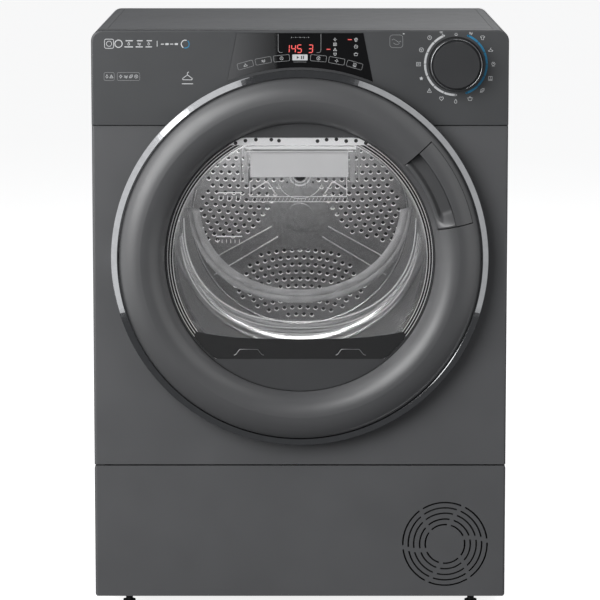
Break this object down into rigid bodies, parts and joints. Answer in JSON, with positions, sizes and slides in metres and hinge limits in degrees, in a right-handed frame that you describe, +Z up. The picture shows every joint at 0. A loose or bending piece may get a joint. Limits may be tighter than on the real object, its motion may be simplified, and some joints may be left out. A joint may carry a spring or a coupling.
{
  "type": "clothes dryer",
  "caption": "Front-loading heat pump clothes dryer with a round porthole door, a rotary dial and a slotted kick panel flap.",
  "frame": {"origin": "on the floor under the middle of the bounding box", "axes": "+Z up, -Y out of the door (front), +X to the right seen from the front"},
  "size_m": [0.596, 0.605, 0.85],
  "materials": {
    "side_paint": "satin dark grey paint",
    "front_paint": "satin dark grey paint",
    "kick_plastic": "painted to match the front",
    "zinc_sheet": "zinc coated sheet",
    "duct_plastic": "moulded grey plastic",
    "top_plastic": "fine grained plastic",
    "top_laminate": "grey laminate",
    "fascia_plastic": "satin plastic",
    "lens_black": "black gloss lens",
    "dial_plastic": "satin knob",
    "ring_plastic": "satin dark grey",
    "chrome_trim": "polished",
    "clear_glass": "clear",
    "mask_dark": "opaque print",
    "black_plastic": "black plastic",
    "clear_plastic": "clear container",
    "pale_plastic": "pale grey plastic",
    "drum_steel": "stainless",
    "lifter_plastic": "grey plastic",
    "steel": "machined steel",
    "roller_plastic": "grey plastic",
    "rubber": "black rubber",
    "felt": "wool felt",
    "compressor_paint": "black paint",
    "fins": "bare fins",
    "copper": "copper tube"
  },
  "bodies": {
    "cabinet": {"base_tray": "duct_plastic", "base_cover": "duct_plastic", "side_panel_left": "side_paint", "side_panel_right": "side_paint", "rear_panel": "side_paint", "rear_duct_cover": "duct_plastic", "top_frame": "top_plastic", "top_board": "top_laminate", "cabinet_screws": "steel", "control_fascia": "fascia_plastic", "display_lens": "lens_black", "front_panel": "front_paint", "front_bulkhead": "duct_plastic", "drum_front_felt": "felt", "door_seal": "rubber", "hinge_bracket": "zinc_sheet", "hinge_pin": "steel", "door_lock": "black_plastic", "rear_bearing": "steel", "roller_axles": "steel", "drive_belt": "rubber", "motor_body": "zinc_sheet", "fan_scroll": "duct_plastic", "compressor": "compressor_paint", "evaporator": "fins", "condenser": "fins", "refrigerant_pipes": "copper", "cooling_fan_frame": "black_plastic", "drain_spigot": "duct_plastic", "mains_inlet": "duct_plastic"},
    "door": {"door_ring": "ring_plastic", "door_handle": "ring_plastic", "grip_cup": "black_plastic", "door_chrome_ring": "chrome_trim", "door_glass": "clear_glass", "window_mask": "mask_dark", "door_inner_frame": "black_plastic", "door_hinge_arm": "steel", "door_latch_hook": "black_plastic"},
    "container": {"water_container": "clear_plastic", "container_funnel": "pale_plastic"},
    "dial": {"program_dial": "dial_plastic"},
    "filter": {"lint_filter": "pale_plastic"},
    "kick_flap": {"kick_panel": "kick_plastic"},
    "exchanger_lid": {"exchanger_cover": "roller_plastic"},
    "drum": {"drum_shell": "drum_steel", "drum_back": "drum_steel", "drum_lifters": "lifter_plastic", "drum_shaft": "steel"},
    "roller_left": {"support_roller_left": "roller_plastic"},
    "roller_right": {"support_roller_right": "roller_plastic"},
    "motor_rotor": {"motor_rotor": "steel", "process_fan_wheel": "black_plastic"},
    "idler_arm": {"idler_arm": "steel"},
    "idler_pulley": {"idler_pulley": "roller_plastic"},
    "cooling_fan": {"cooling_fan_wheel": "black_plastic"},
    "foot_front_left": {"foot_front_left": "rubber"},
    "foot_front_right": {"foot_front_right": "rubber"},
    "foot_rear_left": {"foot_rear_left": "rubber"},
    "foot_rear_right": {"foot_rear_right": "rubber"}
  },
  "joints": [
    {"name": "door_hinge", "type": "hinge", "parent": "cabinet", "child": "door", "pos_m": [-0.2655, -0.276, 0.524], "axis": [0, 0, -1], "range_deg": [0, 110]},
    {"name": "container_slide", "type": "slide", "parent": "door", "child": "container", "axis": [0, 1, 0], "range_m": [0, 0.06]},
    {"name": "dial_turn", "type": "hinge", "parent": "cabinet", "child": "dial", "pos_m": [0.2223, -0.265, 0.8014], "axis": [0, 1, 0], "continuous": true},
    {"name": "filter_lift", "type": "slide", "parent": "cabinet", "child": "filter", "axis": [0, 0, 1], "range_m": [0, 0.12]},
    {"name": "kick_flap_hinge", "type": "hinge", "parent": "cabinet", "child": "kick_flap", "pos_m": [0, -0.2545, 0.03], "axis": [1, 0, 0], "range_deg": [0, 85]},
    {"name": "exchanger_lid_slide", "type": "slide", "parent": "cabinet", "child": "exchanger_lid", "axis": [0, -1, 0], "range_m": [0, 0.035]},
    {"name": "drum_spin", "type": "hinge", "parent": "cabinet", "child": "drum", "pos_m": [0, 0.05, 0.524], "axis": [0, 1, 0], "continuous": true},
    {"name": "roller_left_spin", "type": "hinge", "parent": "cabinet", "child": "roller_left", "pos_m": [-0.179, -0.117, 0.2681], "axis": [0, 1, 0], "continuous": true},
    {"name": "roller_right_spin", "type": "hinge", "parent": "cabinet", "child": "roller_right", "pos_m": [0.179, -0.117, 0.2681], "axis": [0, 1, 0], "continuous": true},
    {"name": "motor_spin", "type": "hinge", "parent": "cabinet", "child": "motor_rotor", "pos_m": [0.175, 0.1, 0.18], "axis": [0, 1, 0], "continuous": true},
    {"name": "idler_swing", "type": "hinge", "parent": "cabinet", "child": "idler_arm", "pos_m": [0.118, 0.036, 0.128], "axis": [0, -1, 0], "range_deg": [0, 20], "stiffness_Nm_per_rad": 1.5, "springref_deg": -5.73},
    {"name": "idler_pulley_spin", "type": "hinge", "parent": "idler_arm", "child": "idler_pulley", "pos_m": [0.1039, 0.0245, 0.1696], "axis": [0, 1, 0], "continuous": true},
    {"name": "cooling_fan_spin", "type": "hinge", "parent": "cabinet", "child": "cooling_fan", "pos_m": [0.2108, -0.228, 0.1032], "axis": [0, 1, 0], "continuous": true},
    {"name": "foot_front_left_height", "type": "slide", "parent": "cabinet", "child": "foot_front_left", "axis": [0, 0, -1], "range_m": [0, 0.012]},
    {"name": "foot_front_right_height", "type": "slide", "parent": "cabinet", "child": "foot_front_right", "axis": [0, 0, -1], "range_m": [0, 0.012]},
    {"name": "foot_rear_left_height", "type": "slide", "parent": "cabinet", "child": "foot_rear_left", "axis": [0, 0, -1], "range_m": [0, 0.012]},
    {"name": "foot_rear_right_height", "type": "slide", "parent": "cabinet", "child": "foot_rear_right", "axis": [0, 0, -1], "range_m": [0, 0.012]}
  ],
  "couplings": [
    {"joint": "roller_left_spin", "follows": "drum_spin", "ratio": -9.4},
    {"joint": "roller_right_spin", "follows": "drum_spin", "ratio": -9.4},
    {"joint": "motor_spin", "follows": "drum_spin", "ratio": 18.57},
    {"joint": "idler_pulley_spin", "follows": "drum_spin", "ratio": -18.9}
  ]
}
